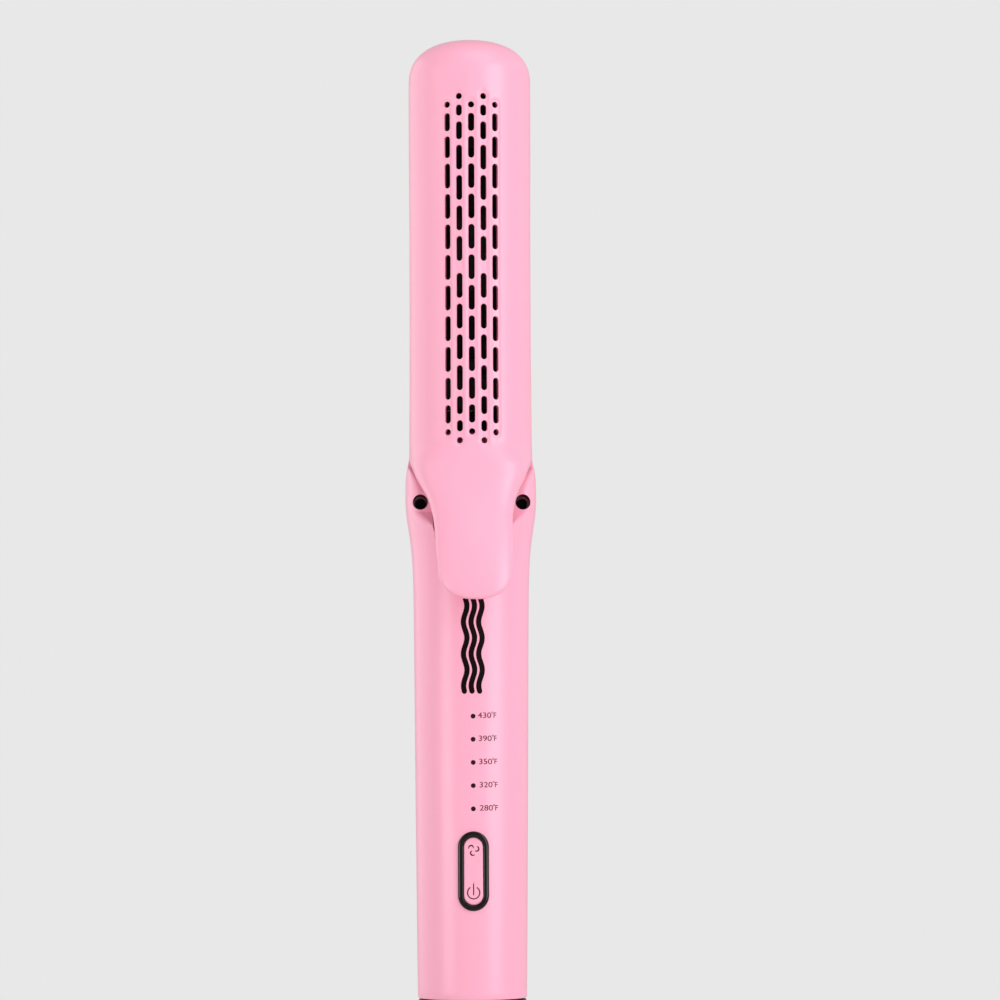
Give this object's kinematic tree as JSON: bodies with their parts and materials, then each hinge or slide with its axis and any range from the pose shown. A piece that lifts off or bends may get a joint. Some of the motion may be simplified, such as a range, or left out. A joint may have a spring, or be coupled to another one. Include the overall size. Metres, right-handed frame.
{
  "type": "curling wand",
  "caption": "Round vented two-jaw curling wand with an inner straightening plate pair, thumb lever, indicator lights, two-way button, black end cap and swivel cord stub.",
  "frame": {"origin": "middle of the hand grip, on the wand's long axis, 75 mm below the jaw hinge", "axes": "+Z along the wand to the tip; -Y is the front, with the lever, lights and button; +X to the right of somebody who looks at the front"},
  "size_m": [0.0342, 0.0451, 0.3125],
  "materials": {
    "pink_plastic": "satin moulded, slightly soft sheen",
    "black_gloss": "polished",
    "black_satin": "satin",
    "black_matte": "matte, heat resistant",
    "plate_titanium": null,
    "heater_ceramic": null,
    "silicone": "matte silicone",
    "steel": "plain",
    "circuit_board": "solder mask",
    "light_pipe": "tinted translucent, unlit",
    "nylon": "natural",
    "bronze": "sintered",
    "filter_mesh": "fine mesh",
    "black_rubber": "soft matte"
  },
  "bodies": {
    "handle": {"handle_front_shell": "pink_plastic", "handle_rear_shell": "pink_plastic", "barrel_rear_shell": "pink_plastic", "rear_plate_frame": "black_matte", "rear_heating_plate": "plate_titanium", "rear_heater": "heater_ceramic", "rear_thermistor": "silicone", "thermal_fuse": "steel", "rear_frame_screw_lower": "steel", "rear_frame_screw_upper": "steel", "hinge_pin": "steel", "clamp_spring": "steel", "hinge_screw_left": "steel", "hinge_screw_right": "steel", "main_circuit_board": "circuit_board", "fan_switch": "black_matte", "power_switch": "black_matte", "board_screw_upper": "steel", "board_screw_lower": "steel", "indicator_light_pipe": "light_pipe", "button_bezel": "black_gloss", "air_duct": "nylon", "fan_housing": "black_matte", "fan_motor": "steel", "end_cap": "black_satin", "intake_filter": "filter_mesh", "swivel_retainer": "black_matte", "rear_heater_lead": "silicone", "mains_lead": "silicone"},
    "clamp": {"clamp_shell": "pink_plastic", "clamp_plate_frame": "black_matte", "clamp_frame_screw_lower": "steel", "clamp_frame_screw_upper": "steel", "float_spring_lower": "steel", "float_spring_upper": "steel", "hinge_bush_left": "bronze", "hinge_bush_right": "bronze"},
    "clamp_plate": {"clamp_heating_plate": "plate_titanium", "clamp_heater": "heater_ceramic", "clamp_thermistor": "silicone"},
    "button_rocker": {"button_rocker": "pink_plastic"},
    "fan": {"fan_impeller": "nylon"},
    "cord": {"swivel_collar": "black_matte", "strain_relief": "black_rubber", "power_cord": "black_rubber"}
  },
  "joints": [
    {"name": "clamp_hinge", "type": "hinge", "parent": "handle", "child": "clamp", "pos_m": [0, 0, 0.075], "axis": [1, 0, 0], "range_deg": [0, 18], "stiffness_Nm_per_rad": 0.15, "deforming": ["clamp_spring"]},
    {"name": "clamp_plate_float", "type": "slide", "parent": "clamp", "child": "clamp_plate", "axis": [0, -1, 0], "range_m": [0, 0.0008], "stiffness_N_per_m": 3000, "deforming": ["float_spring_lower", "float_spring_upper"]},
    {"name": "button_rock", "type": "hinge", "parent": "handle", "child": "button_rocker", "pos_m": [0, -0.0126, -0.0208], "axis": [1, 0, 0], "range_deg": [-2.5, 2.5], "stiffness_Nm_per_rad": 0.02},
    {"name": "fan_spin", "type": "hinge", "parent": "handle", "child": "fan", "pos_m": [0, 0, -0.049], "axis": [0, 0, 1], "continuous": true},
    {"name": "cord_swivel", "type": "hinge", "parent": "handle", "child": "cord", "pos_m": [0, 0, -0.068], "axis": [0, 0, 1], "continuous": true}
  ]
}
